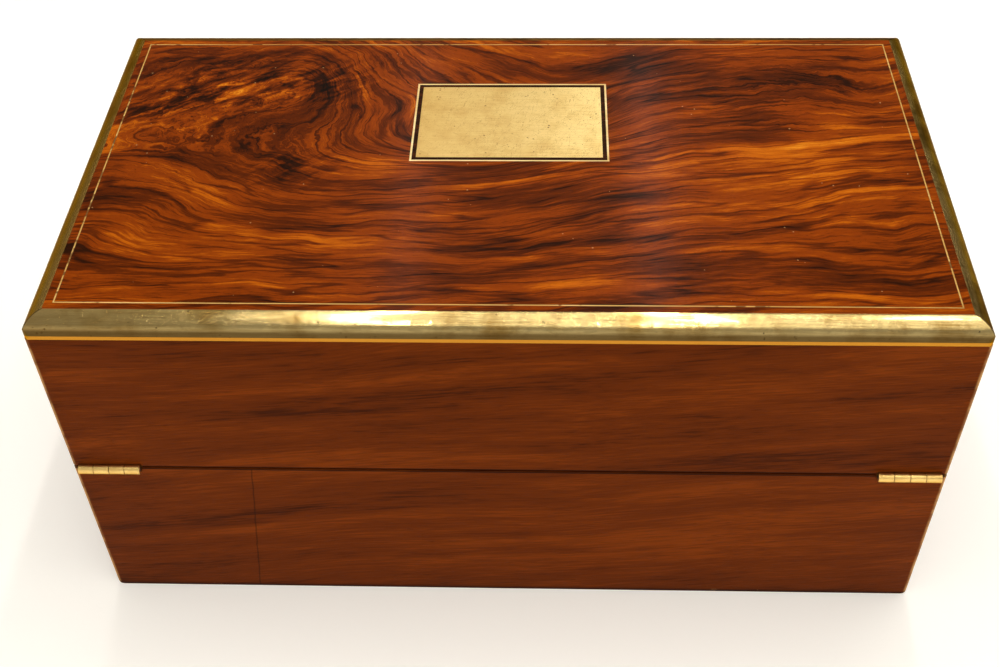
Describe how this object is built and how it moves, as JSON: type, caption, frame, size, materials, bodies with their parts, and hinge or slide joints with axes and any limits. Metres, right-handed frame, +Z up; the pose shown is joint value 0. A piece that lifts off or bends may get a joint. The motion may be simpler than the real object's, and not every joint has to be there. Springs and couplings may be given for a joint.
{
  "type": "writing slope",
  "caption": "Walnut writing slope with figured lid top and rolled brass edges, slanted seam, leather writing flaps over paper spaces, pen tray, ink bottles and box lock.",
  "frame": {"origin": "centre of the wooden carcass on the underside of the closed box", "axes": "+Z up, +X along the width, +Y from the hinge side towards the lock side"},
  "size_m": [0.4004, 0.2236, 0.185],
  "materials": {
    "figured_veneer": "french polish, gloss",
    "walnut": "waxed, satin",
    "plain_wood": "unpolished",
    "inner_wood": "satin",
    "pale_stringing": "satin",
    "dark_banding": "satin",
    "aged_brass": "aged, fine scratches",
    "brass": "lacquered, satin",
    "steel": "dull",
    "writing_leather": "smooth, satin",
    "lining": "matte",
    "bottle_glass": "clear"
  },
  "bodies": {
    "base": {"base_back": "walnut", "base_front": "walnut", "base_left_end": "walnut", "base_right_end": "walnut", "base_bottom": "plain_wood", "base_lining": "lining", "left_hinge_base_leaf": "brass", "right_hinge_base_leaf": "brass", "hinge_pins": "steel", "base_hinge_rail": "inner_wood", "base_flap_ledges": "plain_wood", "base_flap_rail_leaves": "brass", "base_flap_hinge_pins": "steel", "pen_section_divider": "inner_wood", "pen_section_floor": "inner_wood", "ink_divider_left": "inner_wood", "ink_divider_right": "inner_wood", "pen_tray": "inner_wood", "ink_bottle_left": "bottle_glass", "ink_bottle_right": "bottle_glass", "ink_cap_left": "brass", "ink_cap_right": "brass", "lock_case": "brass", "lock_cap": "brass", "keyhole_escutcheon": "brass"},
    "lid": {"lid_back": "walnut", "lid_front": "walnut", "lid_left_end": "walnut", "lid_right_end": "walnut", "lid_top": "plain_wood", "lid_lining": "lining", "lid_veneer": "figured_veneer", "border_stringing": "pale_stringing", "plate_stringing": "pale_stringing", "plate_banding": "dark_banding", "brass_plate": "aged_brass", "edge_moulding_back": "aged_brass", "edge_moulding_front": "aged_brass", "edge_moulding_left": "aged_brass", "edge_moulding_right": "aged_brass", "left_hinge_lid_leaf": "brass", "right_hinge_lid_leaf": "brass", "link_plate": "brass", "lid_hinge_rail": "inner_wood", "lid_front_rail": "inner_wood", "lid_flap_ledges": "plain_wood", "lid_flap_rail_leaves": "brass", "lid_flap_hinge_pins": "steel", "flap_catch_screw": "brass"},
    "base_flap": {"base_flap_board": "plain_wood", "base_flap_leather": "writing_leather", "base_flap_leaves": "brass"},
    "lid_flap": {"lid_flap_board": "plain_wood", "lid_flap_leather": "writing_leather", "lid_flap_leaves": "brass"},
    "bolt": {"lock_bolt": "steel"},
    "catch": {"flap_catch": "brass"}
  },
  "joints": [
    {"name": "lid_hinge", "type": "hinge", "parent": "base", "child": "lid", "pos_m": [0, -0.1111, 0.0925], "axis": [1, 0, 0], "range_deg": [0, 180]},
    {"name": "base_flap_hinge", "type": "hinge", "parent": "base", "child": "base_flap", "pos_m": [0, -0.08657, 0.09482], "axis": [1, 0, 0], "range_deg": [0, 72]},
    {"name": "lid_flap_hinge", "type": "hinge", "parent": "lid", "child": "lid_flap", "pos_m": [0, -0.08673, 0.09968], "axis": [-1, 0, 0], "range_deg": [0, 72]},
    {"name": "lock_bolt_slide", "type": "slide", "parent": "base", "child": "bolt", "axis": [1, 0, 0], "range_m": [0, 0.0045]},
    {"name": "flap_catch_turn", "type": "hinge", "parent": "lid", "child": "catch", "pos_m": [0, 0.09117, 0.13385], "axis": [0, -0.1908, 0.9816], "range_deg": [0, 90]}
  ],
  "couplings": [
    {"joint": "base_flap_hinge", "follows": "lid_hinge", "ratio": 0.4},
    {"joint": "lid_flap_hinge", "follows": "lid_hinge", "ratio": 0.4}
  ]
}
